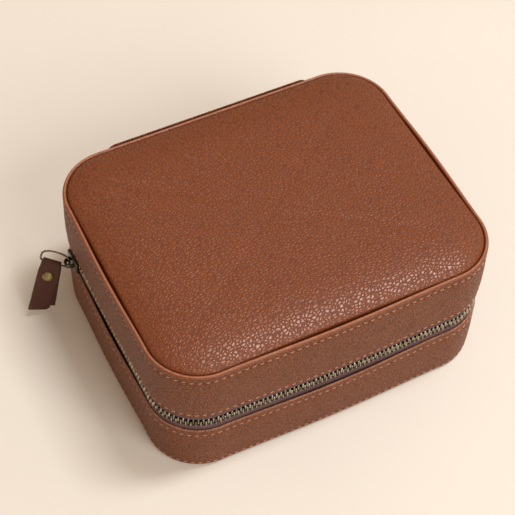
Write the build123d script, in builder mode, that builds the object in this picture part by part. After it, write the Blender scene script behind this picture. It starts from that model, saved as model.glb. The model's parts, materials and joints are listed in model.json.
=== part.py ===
from build123d import *
import os
from math import cos, radians, sin, sqrt

# A zipped leather jewellery case: a padded lid and a base of the same outline, joined by a leather
# hinge at the back and by a metal zip round the other sides.
# Millimetres. +X is to the right, +Y to the back, +Z up. The origin is the middle of the underside.

# Outline of the case, seen from above
CASE_WIDTH = 165.0
CASE_DEPTH = 134.0
CORNER_RADIUS = 25.0

# Heights
BASE_EDGE = 29.5
ZIP_HEIGHT = 35.3
LID_EDGE = 41.0
WELT_BOTTOM = 68.0
WELT_CREST = 72.0
PAD_CROWN = 75.0

# Layers of the walls, as distances in from the outline
LEATHER_BACK = 1.3
BOARD_FACE = 2.0
BOARD_BACK = 4.0
LINING_FACE = 4.8

# Horizontal layers
BOTTOM_LEATHER = 1.2
BOARD_THICKNESS = 2.0
FLOOR_PAD = 1.2
CEILING_LINING = 1.0
TAPE_TUCK = 5.5
BOARD_SETBACK = 0.5

# Zip chain and its stop. Each row of teeth is a plain strip, and CHAIN_GAP is the height above and
# below the middle of the zip that the strips leave free, where the heads of the teeth mesh.
CHAIN_THICKNESS = 2.4
CHAIN_SIDE = 2.35
CHAIN_GAP = 0.5
CHAIN_END_X = 54.0
STOP_LENGTH = 2.0

# Slider, parked at the back of the left side. The base's teeth start inside it, the lid's just in
# front of it, and the stop stands just behind it.
SLIDER_Y = 40.0
SLIDER_LENGTH = 11.0
CHAIN_START = SLIDER_Y + 2
PARKED_CHAIN_START = SLIDER_Y - 7.5
STOP_Y = SLIDER_Y + 6
SLIDER_WIDTH = 8.4
SLIDER_PLATE = 1.0
SLIDER_CHANNEL = 3.0
SLIDER_FLANGE = 0.8
SLIDER_TAPE_SLOT = 1.3
POST_LENGTH = 2.0
POST_HEIGHT = 0.8
BRIDGE_LENGTH = 5.6
BRIDGE_HEIGHT = 3.6
BRIDGE_WIDTH = 2.6
BRIDGE_WALL = 0.9
BRIDGE_ROUNDING = 1.7

# Pull: a wire link in the bridge, and a folded leather tab that hangs from the link
LINK_WIRE = 0.5
LINK_WIDTH = 13.4
LINK_HEIGHT = 6.2
LINK_LOWER_RADIUS = 1.2
LINK_UPPER_RADIUS = 2.8
LINK_HEADING = 33.0
TAB_LEAN = 17.5
TAB_WIDTH = 9.4
TAB_THICKNESS = 2.6
TAB_LENGTH = 32.2
TAB_FOLD_RADIUS = 1.45
TAB_EYE_RADIUS = 0.95
TAB_FROM_LINK_END = 7.75
RIVET_RADIUS = 2.8
RIVET_SHANK = 1.2
RIVET_HEAD = 0.8
RIVET_DROP = 8.0

# Hinge leather on the outside of the back, and the cloth strip behind it
HINGE_WIDTH = 105.0
HINGE_THICKNESS = 1.0
HINGE_BOTTOM = 12.0
HINGE_TOP = 71.8
HINGE_STRIP_THICKNESS = 0.6

# Inside the base
DIVIDER_THICKNESS = 2.4
DIVIDER_TOP = 24.0
LONG_DIVIDER_X = -2.0
RIGHT_DIVIDER_Y = -12.0
ROLL_COUNT = 6
ROLL_WIDTH = 11.0
ROLL_HEIGHT = 13.0
ROLL_PITCH = 11.4
ROLL_GAP = 0.4

# Mirror under the lid
MIRROR_WIDTH = 92.0
MIRROR_DEPTH = 62.0
MIRROR_THICKNESS = 1.6
MIRROR_RADIUS = 8.0
MIRROR_BORDER = 6.0
MIRROR_LIP = 1.0

# The raised rim and the padded panel inside it
WELT_INNER = 2.2
WELT_ROUNDING = 0.9
PAD_INSET = 2.6
PAD_SHOULDER = 4.0
PAD_LEATHER = 1.2

# Worked out from the values above
WALL_X = -CASE_WIDTH / 2
TAPE_MIDDLE = (LEATHER_BACK + BOARD_FACE) / 2
CHAIN_X = WALL_X + TAPE_MIDDLE
BASE_FLOOR = BOTTOM_LEATHER + BOARD_THICKNESS
PAD_TOP = BASE_FLOOR + FLOOR_PAD
LID_BOARD = WELT_BOTTOM - BOARD_THICKNESS
CEILING = LID_BOARD - CEILING_LINING
BRIDGE_ROOT_X = CHAIN_X - SLIDER_CHANNEL / 2 - SLIDER_PLATE
LINK_EYE = Vector(BRIDGE_ROOT_X - (BRIDGE_HEIGHT - BRIDGE_WALL) / 2, SLIDER_Y, ZIP_HEIGHT)


def outline(inset):
    """Width, depth and corner radius of the rounded rectangle this far inside the case's outline."""
    width = CASE_WIDTH - 2 * inset
    depth = CASE_DEPTH - 2 * inset
    return width, depth, CORNER_RADIUS - inset


def slab_section(height, inset):
    """The whole area inside the outline, on a horizontal plane."""
    with BuildSketch(Plane.XY.offset(height)) as section:
        RectangleRounded(*outline(inset))
    return section.sketch


def wall_section(height, outer_inset, inner_inset):
    """A closed band that follows the outline, on a horizontal plane."""
    with BuildSketch(Plane.XY.offset(height)) as section:
        RectangleRounded(*outline(outer_inset))
        RectangleRounded(*outline(inner_inset), mode=Mode.SUBTRACT)
    return section.sketch


def tape_section(height):
    """The band of the zip tape. It stops at the two ends of the hinge leather."""
    with BuildSketch(Plane.XY.offset(height)) as section:
        RectangleRounded(*outline(LEATHER_BACK))
        RectangleRounded(*outline(BOARD_FACE), mode=Mode.SUBTRACT)
        with Locations((0, CASE_DEPTH / 2)):
            Rectangle(HINGE_WIDTH, 2 * BOARD_BACK, mode=Mode.SUBTRACT)
    return section.sketch


def chain_section(height, start_y):
    """The band of the zip's teeth, from start_y on the left, round the front and the right side."""
    with BuildSketch(Plane.XY.offset(height)) as section:
        RectangleRounded(*outline(TAPE_MIDDLE - CHAIN_THICKNESS / 2))
        RectangleRounded(*outline(TAPE_MIDDLE + CHAIN_THICKNESS / 2), mode=Mode.SUBTRACT)
        with Locations((CHAIN_END_X, start_y)):
            Rectangle(2 * CASE_WIDTH, CASE_DEPTH, align=(Align.MAX, Align.MIN), mode=Mode.SUBTRACT)
    return section.sketch


def hinge_section(height, back_y, thickness):
    """A straight band across the back, on a horizontal plane."""
    with BuildSketch(Plane.XY.offset(height)) as section:
        with Locations((0, back_y)):
            Rectangle(HINGE_WIDTH, thickness, align=(Align.CENTER, Align.MAX))
    return section.sketch


# ---------------------------------------------------------------- base: shell

with BuildPart() as base_bottom_leather:
    extrude(slab_section(0, 0), amount=BOTTOM_LEATHER)
    fillet(base_bottom_leather.faces().sort_by(Axis.Z)[0].edges(), radius=0.6)

with BuildPart() as base_floor_board:
    extrude(slab_section(BOTTOM_LEATHER, BOARD_BACK), amount=BOARD_THICKNESS)

with BuildPart() as base_wall_board:
    board_height = BASE_EDGE - BOARD_SETBACK - BOTTOM_LEATHER
    extrude(wall_section(BOTTOM_LEATHER, BOARD_FACE, BOARD_BACK), amount=board_height)

with BuildPart() as base_wall_foam:
    foam_height = BASE_EDGE - TAPE_TUCK - BOTTOM_LEATHER
    extrude(wall_section(BOTTOM_LEATHER, LEATHER_BACK, BOARD_FACE), amount=foam_height)

with BuildPart() as base_wall_leather:
    extrude(wall_section(BOTTOM_LEATHER, 0, LEATHER_BACK), amount=BASE_EDGE - BOTTOM_LEATHER)

with BuildPart() as base_wall_lining:
    lining_height = BASE_EDGE - BOARD_SETBACK - BASE_FLOOR
    extrude(wall_section(BASE_FLOOR, BOARD_BACK, LINING_FACE), amount=lining_height)

with BuildPart() as base_floor_pad:
    extrude(slab_section(BASE_FLOOR, LINING_FACE), amount=FLOOR_PAD)

# ---------------------------------------------------------------- base: compartments and ring rolls

inner_depth = CASE_DEPTH - 2 * LINING_FACE
inner_left = WALL_X + LINING_FACE
divider_height = DIVIDER_TOP - PAD_TOP
first_roll_y = -inner_depth / 2 + ROLL_GAP + ROLL_WIDTH / 2
left_divider_y = first_roll_y + (ROLL_COUNT - 0.5) * ROLL_PITCH + DIVIDER_THICKNESS / 2

with BuildPart() as long_divider:
    with BuildSketch(Plane.XY.offset(PAD_TOP)):
        with Locations((LONG_DIVIDER_X, 0)):
            Rectangle(DIVIDER_THICKNESS, inner_depth)
    extrude(amount=divider_height)
    fillet(long_divider.faces().sort_by(Axis.Z)[-1].edges().filter_by(Axis.Y), radius=1.0)

with BuildPart() as left_divider:
    with BuildSketch(Plane.XY.offset(PAD_TOP)):
        with Locations((inner_left, left_divider_y)):
            left_length = LONG_DIVIDER_X - DIVIDER_THICKNESS / 2 - inner_left
            Rectangle(left_length, DIVIDER_THICKNESS, align=(Align.MIN, Align.CENTER))
    extrude(amount=divider_height)
    fillet(left_divider.faces().sort_by(Axis.Z)[-1].edges().filter_by(Axis.X), radius=1.0)

with BuildPart() as right_divider:
    with BuildSketch(Plane.XY.offset(PAD_TOP)):
        with Locations((-inner_left, RIGHT_DIVIDER_Y)):
            right_length = -inner_left - LONG_DIVIDER_X - DIVIDER_THICKNESS / 2
            Rectangle(right_length, DIVIDER_THICKNESS, align=(Align.MAX, Align.CENTER))
    extrude(amount=divider_height)
    fillet(right_divider.faces().sort_by(Axis.Z)[-1].edges().filter_by(Axis.X), radius=1.0)

# Foam rolls side by side, each with a flat foot and a round top, which hold rings between them.
# The front rolls are shorter, where the corner of the case rounds off.
roll_right = LONG_DIVIDER_X - DIVIDER_THICKNESS / 2 - ROLL_GAP
roll_left = inner_left + ROLL_GAP
corner_inner = CORNER_RADIUS - LINING_FACE
corner_middle_y = -CASE_DEPTH / 2 + CORNER_RADIUS

with BuildPart() as ring_rolls:
    for index in range(ROLL_COUNT):
        roll_y = first_roll_y + index * ROLL_PITCH
        depth_in_corner = max(0.0, corner_middle_y - (roll_y - ROLL_WIDTH / 2))
        corner_cut = corner_inner - sqrt(corner_inner ** 2 - depth_in_corner ** 2)
        with BuildSketch(Plane.YZ.offset(roll_left + corner_cut)):
            with Locations((roll_y, PAD_TOP)):
                Rectangle(ROLL_WIDTH, ROLL_HEIGHT - ROLL_WIDTH / 2, align=(Align.CENTER, Align.MIN))
            with Locations((roll_y, PAD_TOP + ROLL_HEIGHT - ROLL_WIDTH / 2)):
                Circle(ROLL_WIDTH / 2)
        extrude(amount=roll_right - roll_left - corner_cut)

# ---------------------------------------------------------------- lid

with BuildPart() as lid_wall_leather:
    extrude(wall_section(LID_EDGE, 0, LEATHER_BACK), amount=WELT_BOTTOM - LID_EDGE)

with BuildPart() as lid_wall_foam:
    foam_bottom = LID_EDGE + TAPE_TUCK
    extrude(wall_section(foam_bottom, LEATHER_BACK, BOARD_FACE), amount=WELT_BOTTOM - foam_bottom)

with BuildPart() as lid_wall_board:
    board_bottom = LID_EDGE + BOARD_SETBACK
    extrude(wall_section(board_bottom, BOARD_FACE, BOARD_BACK), amount=WELT_BOTTOM - board_bottom)

with BuildPart() as lid_wall_lining:
    lining_bottom = LID_EDGE + BOARD_SETBACK
    extrude(wall_section(lining_bottom, BOARD_BACK, LINING_FACE), amount=LID_BOARD - lining_bottom)

with BuildPart() as lid_top_board:
    extrude(slab_section(LID_BOARD, BOARD_BACK), amount=BOARD_THICKNESS)

with BuildPart() as lid_ceiling_lining:
    extrude(slab_section(CEILING, LINING_FACE), amount=CEILING_LINING)

# The raised rim: the edge of the wall leather turned over a cord.
with BuildPart() as lid_welt:
    extrude(wall_section(WELT_BOTTOM, 0, WELT_INNER), amount=WELT_CREST - WELT_BOTTOM)
    fillet(lid_welt.faces().sort_by(Axis.Z)[-1].edges(), radius=WELT_ROUNDING)

foam_top = PAD_CROWN - PAD_LEATHER
with BuildPart() as lid_foam:
    extrude(slab_section(WELT_BOTTOM, PAD_INSET + PAD_LEATHER), amount=foam_top - WELT_BOTTOM)
    fillet(lid_foam.faces().sort_by(Axis.Z)[-1].edges(), radius=PAD_SHOULDER - PAD_LEATHER)

with BuildPart() as lid_top_leather:
    extrude(slab_section(WELT_BOTTOM, PAD_INSET), amount=PAD_CROWN - WELT_BOTTOM)
    fillet(lid_top_leather.faces().sort_by(Axis.Z)[-1].edges(), radius=PAD_SHOULDER)
    add(lid_foam.part, mode=Mode.SUBTRACT)

with BuildPart() as lid_mirror:
    with BuildSketch(Plane.XY.offset(CEILING - MIRROR_THICKNESS)):
        RectangleRounded(MIRROR_WIDTH, MIRROR_DEPTH, MIRROR_RADIUS)
    extrude(amount=MIRROR_THICKNESS)

with BuildPart() as lid_mirror_frame:
    with BuildSketch(Plane.XY.offset(CEILING - MIRROR_THICKNESS)):
        frame_width = MIRROR_WIDTH + 2 * MIRROR_BORDER
        frame_depth = MIRROR_DEPTH + 2 * MIRROR_BORDER
        RectangleRounded(frame_width, frame_depth, MIRROR_RADIUS + MIRROR_BORDER)
        RectangleRounded(MIRROR_WIDTH, MIRROR_DEPTH, MIRROR_RADIUS, mode=Mode.SUBTRACT)
    extrude(amount=MIRROR_THICKNESS)
    with BuildSketch(Plane.XY.offset(CEILING - MIRROR_THICKNESS - MIRROR_LIP)):
        RectangleRounded(frame_width, frame_depth, MIRROR_RADIUS + MIRROR_BORDER)
        lip_width = MIRROR_WIDTH - 2 * MIRROR_LIP
        lip_depth = MIRROR_DEPTH - 2 * MIRROR_LIP
        RectangleRounded(lip_width, lip_depth, MIRROR_RADIUS - MIRROR_LIP, mode=Mode.SUBTRACT)
    extrude(amount=MIRROR_LIP)

# ---------------------------------------------------------------- zip

with BuildPart() as base_zip_tape:
    tape_bottom = BASE_EDGE - TAPE_TUCK
    extrude(tape_section(tape_bottom), amount=ZIP_HEIGHT - CHAIN_SIDE - tape_bottom)

with BuildPart() as lid_zip_tape:
    lid_tape_bottom = ZIP_HEIGHT + CHAIN_SIDE
    extrude(tape_section(lid_tape_bottom), amount=LID_EDGE + TAPE_TUCK - lid_tape_bottom)

with BuildPart() as base_zip_chain:
    base_chain_bottom = ZIP_HEIGHT - CHAIN_SIDE
    extrude(chain_section(base_chain_bottom, CHAIN_START), amount=CHAIN_SIDE - CHAIN_GAP)

with BuildPart() as lid_zip_chain:
    extrude(chain_section(ZIP_HEIGHT + CHAIN_GAP, PARKED_CHAIN_START), amount=CHAIN_SIDE - CHAIN_GAP)

# A folded metal stop on the edge of the base's tape, behind the parked slider.
with BuildPart() as zip_stop:
    with BuildSketch(Plane.XY.offset(ZIP_HEIGHT - CHAIN_SIDE)):
        with Locations((CHAIN_X, STOP_Y)):
            Rectangle(CHAIN_THICKNESS, STOP_LENGTH, align=(Align.CENTER, Align.MIN))
    extrude(amount=CHAIN_SIDE - CHAIN_GAP)

# ---------------------------------------------------------------- slider

channel_face = CHAIN_X - SLIDER_CHANNEL / 2
with BuildPart() as slider_body:
    # Outer and inner plate
    for plate_x in (channel_face - SLIDER_PLATE, channel_face + SLIDER_CHANNEL):
        with BuildSketch(Plane.YZ.offset(plate_x)):
            with Locations((SLIDER_Y, ZIP_HEIGHT)):
                RectangleRounded(SLIDER_LENGTH, SLIDER_WIDTH, 2.0)
        extrude(amount=SLIDER_PLATE)
    # Flanges along both edges of both plates, with a slot between them for the tape
    flange_depth = (SLIDER_CHANNEL - SLIDER_TAPE_SLOT) / 2
    for flange_x in (channel_face, channel_face + SLIDER_CHANNEL - flange_depth):
        for flange_z in (SLIDER_WIDTH / 2 - SLIDER_FLANGE, -SLIDER_WIDTH / 2):
            with BuildSketch(Plane.YZ.offset(flange_x)):
                with Locations((SLIDER_Y, ZIP_HEIGHT + flange_z)):
                    flange_length = SLIDER_LENGTH - 4.0
                    Rectangle(flange_length, SLIDER_FLANGE, align=(Align.CENTER, Align.MIN))
            extrude(amount=flange_depth)
    # The post between the plates that parts the two rows of teeth
    with BuildSketch(Plane.YZ.offset(channel_face)):
        with Locations((SLIDER_Y + SLIDER_LENGTH / 2 - POST_LENGTH, ZIP_HEIGHT)):
            RectangleRounded(POST_LENGTH, POST_HEIGHT, POST_HEIGHT / 3)
    extrude(amount=SLIDER_CHANNEL)

with BuildPart() as slider_bridge:
    with BuildSketch(Plane.XY.offset(ZIP_HEIGHT - BRIDGE_WIDTH / 2)):
        with Locations((BRIDGE_ROOT_X, SLIDER_Y)):
            Rectangle(BRIDGE_HEIGHT, BRIDGE_LENGTH, align=(Align.MAX, Align.CENTER))
    extrude(amount=BRIDGE_WIDTH)
    fillet(slider_bridge.edges().filter_by(Axis.Z).sort_by(Axis.X)[0:2], radius=BRIDGE_ROUNDING)
    with BuildSketch(Plane.XY.offset(ZIP_HEIGHT - BRIDGE_WIDTH / 2)):
        with Locations((BRIDGE_ROOT_X, SLIDER_Y)):
            hole_height = BRIDGE_HEIGHT - BRIDGE_WALL
            hole_length = BRIDGE_LENGTH - 2 * BRIDGE_WALL
            Rectangle(hole_height, hole_length, align=(Align.MAX, Align.CENTER))
    extrude(amount=BRIDGE_WIDTH, mode=Mode.SUBTRACT)

# ---------------------------------------------------------------- pull

# The link stands out of the bridge across the wall, with its far end towards the back, and the tab
# hangs down and away from the wall. "across" runs along the link and "down" along the tab.
lean = radians(TAB_LEAN)
heading = radians(LINK_HEADING)
down = Vector(-sin(lean), 0, -cos(lean))
outward = Vector(-cos(heading), sin(heading), 0)
across = (outward - down * outward.dot(down)).normalized()
facing = across.cross(down)
tab_eye = LINK_EYE + across * TAB_FROM_LINK_END + down * (LINK_HEIGHT / 2)

with BuildPart() as puller_link:
    with BuildLine(Plane(origin=LINK_EYE, x_dir=across, z_dir=facing)) as link_path:
        FilletPolyline(
            (0, -LINK_HEIGHT / 2),
            (LINK_WIDTH, -LINK_HEIGHT / 2),
            (LINK_WIDTH, LINK_HEIGHT / 2),
            (0, LINK_HEIGHT / 2),
            radius=[LINK_UPPER_RADIUS, LINK_UPPER_RADIUS, LINK_LOWER_RADIUS, LINK_LOWER_RADIUS],
            close=True,
        )
    link_start = link_path.wire() @ 0
    link_direction = link_path.wire() % 0
    with BuildSketch(Plane(origin=link_start, z_dir=link_direction)):
        Circle(LINK_WIRE)
    sweep(path=link_path.wire())

with BuildPart() as pull_tab:
    tab_edge = tab_eye - across * (TAB_WIDTH / 2)
    with BuildSketch(Plane(origin=tab_edge, x_dir=down, z_dir=across)):
        Circle(TAB_FOLD_RADIUS)
        Rectangle(TAB_LENGTH, TAB_THICKNESS, align=(Align.MIN, Align.CENTER))
        Circle(TAB_EYE_RADIUS, mode=Mode.SUBTRACT)
    extrude(amount=TAB_WIDTH)
    tab_corners = pull_tab.edges().filter_by(Axis(tab_eye, facing)).group_by(Axis(tab_eye, down))[-1]
    fillet(tab_corners, radius=1.2)
    with BuildSketch(Plane(origin=tab_eye + down * RIVET_DROP, x_dir=across, z_dir=facing)):
        Circle(RIVET_SHANK)
    extrude(amount=TAB_THICKNESS, both=True, mode=Mode.SUBTRACT)

with BuildPart() as tab_rivet:
    with BuildSketch(Plane(origin=tab_eye + down * RIVET_DROP, x_dir=across, z_dir=facing)):
        Circle(RIVET_SHANK)
    extrude(amount=TAB_THICKNESS / 2, both=True)
    for side in (facing, facing * -1):
        head_root = tab_eye + down * RIVET_DROP + side * (TAB_THICKNESS / 2)
        with BuildSketch(Plane(origin=head_root, x_dir=across, z_dir=side)):
            Circle(RIVET_RADIUS)
        extrude(amount=RIVET_HEAD)
        head_rim = tab_rivet.faces().sort_by(Axis(head_root, side))[-1].edges()
        fillet(head_rim, radius=RIVET_HEAD * 0.9)

# ---------------------------------------------------------------- hinge

with BuildPart() as hinge_leather:
    hinge_back = CASE_DEPTH / 2 + HINGE_THICKNESS
    extrude(hinge_section(HINGE_BOTTOM, hinge_back, HINGE_THICKNESS), amount=HINGE_TOP - HINGE_BOTTOM)

with BuildPart() as hinge_strip:
    strip_back = CASE_DEPTH / 2 - LEATHER_BACK
    strip_bottom = BASE_EDGE - TAPE_TUCK
    strip_height = LID_EDGE + TAPE_TUCK - strip_bottom
    extrude(hinge_section(strip_bottom, strip_back, HINGE_STRIP_THICKNESS), amount=strip_height)

# ---------------------------------------------------------------- one file for each piece

pieces = {
    "base_bottom_leather": base_bottom_leather,
    "base_floor_board": base_floor_board,
    "base_wall_board": base_wall_board,
    "base_wall_foam": base_wall_foam,
    "base_wall_leather": base_wall_leather,
    "base_wall_lining": base_wall_lining,
    "base_floor_pad": base_floor_pad,
    "long_divider": long_divider,
    "left_divider": left_divider,
    "right_divider": right_divider,
    "ring_rolls": ring_rolls,
    "lid_wall_leather": lid_wall_leather,
    "lid_wall_foam": lid_wall_foam,
    "lid_wall_board": lid_wall_board,
    "lid_wall_lining": lid_wall_lining,
    "lid_top_board": lid_top_board,
    "lid_ceiling_lining": lid_ceiling_lining,
    "lid_welt": lid_welt,
    "lid_foam": lid_foam,
    "lid_top_leather": lid_top_leather,
    "lid_mirror": lid_mirror,
    "lid_mirror_frame": lid_mirror_frame,
    "base_zip_tape": base_zip_tape,
    "lid_zip_tape": lid_zip_tape,
    "base_zip_chain": base_zip_chain,
    "lid_zip_chain": lid_zip_chain,
    "zip_stop": zip_stop,
    "slider_body": slider_body,
    "slider_bridge": slider_bridge,
    "puller_link": puller_link,
    "pull_tab": pull_tab,
    "tab_rivet": tab_rivet,
    "hinge_leather": hinge_leather,
    "hinge_strip": hinge_strip,
}

os.makedirs("parts", exist_ok=True)
for name, piece in pieces.items():
    piece.part.label = name
    export_step(piece.part, f"parts/{name}.step")
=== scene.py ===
"""Looks for the zipped leather jewellery case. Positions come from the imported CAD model, in metres."""

import json
import math
import random

import bmesh
import bpy
from mathutils import Matrix, Vector


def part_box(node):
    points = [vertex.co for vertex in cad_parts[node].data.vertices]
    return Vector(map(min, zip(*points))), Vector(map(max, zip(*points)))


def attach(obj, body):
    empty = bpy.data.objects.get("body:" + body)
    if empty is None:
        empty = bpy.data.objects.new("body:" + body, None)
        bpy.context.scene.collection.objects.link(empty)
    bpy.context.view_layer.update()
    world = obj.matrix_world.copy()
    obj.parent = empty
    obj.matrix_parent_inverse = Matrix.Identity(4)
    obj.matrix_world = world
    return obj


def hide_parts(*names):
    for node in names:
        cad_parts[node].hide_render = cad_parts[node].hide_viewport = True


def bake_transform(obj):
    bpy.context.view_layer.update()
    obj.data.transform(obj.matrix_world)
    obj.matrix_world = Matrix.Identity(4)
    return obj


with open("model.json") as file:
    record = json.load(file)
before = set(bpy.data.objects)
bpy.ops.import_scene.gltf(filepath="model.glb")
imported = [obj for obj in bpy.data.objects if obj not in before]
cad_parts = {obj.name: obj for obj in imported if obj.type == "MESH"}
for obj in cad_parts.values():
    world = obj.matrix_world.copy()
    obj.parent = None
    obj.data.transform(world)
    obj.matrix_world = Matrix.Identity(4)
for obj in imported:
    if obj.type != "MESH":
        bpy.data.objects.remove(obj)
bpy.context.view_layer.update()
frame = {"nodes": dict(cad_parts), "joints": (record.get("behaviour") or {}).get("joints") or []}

MM = 0.001
JOINTS = {joint["name"]: joint for joint in frame["joints"]}

# ---------- places, from the CAD model

HALF_W, HALF_D, BASE_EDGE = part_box("base_wall_leather")[1]
BASE_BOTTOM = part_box("base_bottom_leather")[0].z
BOTTOM_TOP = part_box("base_bottom_leather")[1].z
LID_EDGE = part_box("lid_wall_leather")[0].z
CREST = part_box("lid_welt")[1].z
SEAM = CREST - 3.9 * MM
ZIP_Z = JOINTS["lid_hinge"]["pos_m"][2]
SLIDER_Y = JOINTS["link_swing"]["pos_m"][1]

# Distances inside the outline: the wall's face, the tape's face and the chain's middle, the board's inner
# face and the lining's inner face
OUTER = 0.15 * MM
TAPE_INSET = HALF_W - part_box("base_zip_tape")[1].x
TAPE_THICK = 0.7 * MM
CHAIN_INSET = TAPE_INSET + TAPE_THICK / 2
BOARD_BACK = 4.0 * MM
LINING_INSET = HALF_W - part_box("base_floor_pad")[1].x

CORNER = 25.0 * MM
STRAIGHT_X = HALF_W - CORNER
STRAIGHT_Y = HALF_D - CORNER
QUARTER = CORNER * math.pi / 2
PERIMETER = 4 * (STRAIGHT_X + STRAIGHT_Y + QUARTER)
SLIDER_S = STRAIGHT_X + QUARTER + STRAIGHT_Y - SLIDER_Y

# Steps round the outline in each wall and panel
ROUND_STEPS = 380

# How far the front wall stands out of its outline at its middle, the share of this on the left and right
# sides, and how far the front's zip stands out and hangs
WALL_BOW = 1.1 * MM
SIDE_FULLNESS = 0.75
ZIP_BOW = 0.6 * MM
SAG = 1.3 * MM


# ---------- the case's outline

def clip(value, low=-1.0, high=1.0):
    return max(low, min(high, value))


def signed_power(value, power):
    return math.copysign(abs(value) ** power, value)


def offsets(inset, z, *steps):
    """The points (inset, height) that lie at these steps, in millimetres, from one point."""
    return [(inset + across * MM, z + up * MM) for across, up in steps]


def on_outline(s):
    """Point, outward normal and bow share at arc length s from the middle of the back, by the left side.
    The back doesn't bow, because the hinge leather holds it flat."""
    s = s % PERIMETER
    runs = [
        ("line", STRAIGHT_X, (0, HALF_D), (-1, 0), (0, 1)),
        ("arc", QUARTER, (-STRAIGHT_X, STRAIGHT_Y), 90, None),
        ("line", 2 * STRAIGHT_Y, (-HALF_W, STRAIGHT_Y), (0, -1), (-1, 0)),
        ("arc", QUARTER, (-STRAIGHT_X, -STRAIGHT_Y), 180, None),
        ("line", 2 * STRAIGHT_X, (-STRAIGHT_X, -HALF_D), (1, 0), (0, -1)),
        ("arc", QUARTER, (STRAIGHT_X, -STRAIGHT_Y), 270, None),
        ("line", 2 * STRAIGHT_Y, (HALF_W, -STRAIGHT_Y), (0, 1), (1, 0)),
        ("arc", QUARTER, (STRAIGHT_X, STRAIGHT_Y), 0, None),
        ("line", STRAIGHT_X, (STRAIGHT_X, HALF_D), (-1, 0), (0, 1)),
    ]
    for kind, length, at, heading, normal in runs:
        if s > length:
            s -= length
            continue
        if kind == "arc":
            angle = math.radians(heading) + s / CORNER
            out = Vector((math.cos(angle), math.sin(angle), 0))
            return Vector((*at, 0)) + out * CORNER, out, 0.0
        point = Vector((at[0] + heading[0] * s, at[1] + heading[1] * s, 0))
        along, half = (point.x, STRAIGHT_X) if heading[0] else (point.y, STRAIGHT_Y)
        fullness = {1: 0.0, 0: SIDE_FULLNESS, -1: 1.0}[normal[1]]
        return point, Vector((*normal, 0)), fullness * (1 - (along / half) ** 2) ** 2
    return Vector((0, HALF_D, 0)), Vector((0, 1, 0)), 0.0


def place(s, inset, z, bow=0.0):
    """A point this far inside the outline, at height z, with the side bowed out by bow at its middle."""
    point, out, share = on_outline(s)
    moved = point - out * (inset - bow * share)
    return Vector((moved.x, moved.y, z))


def steps_along(start, stop, pitch, inset):
    """Arc lengths from start to stop that are pitch apart on the path that lies inset inside the outline."""
    found = []
    s = start
    while s < stop:
        found.append(s)
        turning = on_outline(s)[2] == 0.0 and on_outline(s + pitch / 2)[2] == 0.0
        s += pitch * CORNER / (CORNER - inset) if turning else pitch
    return found


def outside(point, inset):
    """Whether a point lies outside the case's outline drawn in by inset."""
    across, along = max(0.0, abs(point.x) - STRAIGHT_X), max(0.0, abs(point.y) - STRAIGHT_Y)
    return math.hypot(across, along) > CORNER - inset


def kept_inside(point, inset):
    """The point, drawn back to inside the case's rounded corner if it lies outside it."""
    across, along = abs(point.x) - STRAIGHT_X, abs(point.y) - STRAIGHT_Y
    reach = math.hypot(across, along)
    if across <= 0 or along <= 0 or reach <= CORNER - inset:
        return point
    share = (CORNER - inset) / reach
    x = math.copysign(STRAIGHT_X + across * share, point.x)
    y = math.copysign(STRAIGHT_Y + along * share, point.y)
    return Vector((x, y, point.z))


# ---------- mesh helpers

def in_scene(name, data):
    made = bpy.data.objects.new(name, data)
    bpy.context.scene.collection.objects.link(made)
    return made


def new_piece(name, verts, faces, material):
    mesh = bpy.data.meshes.new(name)
    mesh.from_pydata([tuple(v) for v in verts], [], faces)
    mesh.update()
    piece = in_scene(name, mesh)
    mesh.materials.append(material)
    work = bmesh.new()
    work.from_mesh(mesh)
    bmesh.ops.recalc_face_normals(work, faces=work.faces)
    work.to_mesh(mesh)
    work.free()
    for polygon in mesh.polygons:
        polygon.use_smooth = True
    return piece


def centred_box(name):
    """A CAD node's low and high corners, its middle and its half size."""
    low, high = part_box(name)
    return low, high, (low + high) / 2, (high - low) / 2


def finish_piece(piece, body, slot, *nodes):
    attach(piece, body)
    if nodes:
        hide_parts(*nodes)
    return piece


def shaped(name, form, material, body, slot, *nodes):
    """A finished piece from a form's vertices and faces."""
    return finish_piece(new_piece(name, *form, material), body, slot, *nodes)


def ring_quads(rings, n, closed=False):
    """Faces between neighbouring rings of n points each, and from the last ring to the first if closed."""
    faces = []
    for i in range(rings if closed else rings - 1):
        a, b = i * n, (i + 1) % rings * n
        faces += [(a + k, a + (k + 1) % n, b + (k + 1) % n, b + k) for k in range(n)]
    return faces


def grid_faces(columns, rows, first=0):
    """Faces of a grid whose points run along each column in turn, from point number first."""
    corners = [first + i * (rows + 1) + j for i in range(columns) for j in range(rows)]
    return [(a, a + 1, a + rows + 2, a + rows + 1) for a in corners]


def lofted(sections):
    """Vertices and faces of a closed form through rings of equal size, capped at both ends."""
    verts = [v for ring in sections for v in ring]
    n = len(sections[0])
    caps = [tuple(range(n)), tuple(range(len(verts) - n, len(verts)))]
    return verts, ring_quads(len(sections), n) + caps


def joined(parts):
    """Several (verts, faces) lists as one."""
    verts, faces = [], []
    for some_verts, some_faces in parts:
        shift = len(verts)
        verts.extend(some_verts)
        faces.extend(tuple(i + shift for i in face) for face in some_faces)
    return verts, faces


def slab(columns, rows, point):
    """Vertices and faces of a sheet with two sides and a rim. point(i, j, front) gives its grid's places."""
    places = [(i, j) for i in range(columns + 1) for j in range(rows + 1)]
    verts = [point(i, j, front) for front in (True, False) for i, j in places]
    side = len(places)
    rim = [i * (rows + 1) for i in range(columns)] + [columns * (rows + 1) + j for j in range(rows)]
    rim += [i * (rows + 1) + rows for i in range(columns, 0, -1)] + list(range(rows, 0, -1))
    edge = [(a, b, b + side, a + side) for a, b in zip(rim, rim[1:] + rim[:1])]
    return verts, grid_faces(columns, rows) + grid_faces(columns, rows, side) + edge


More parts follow.
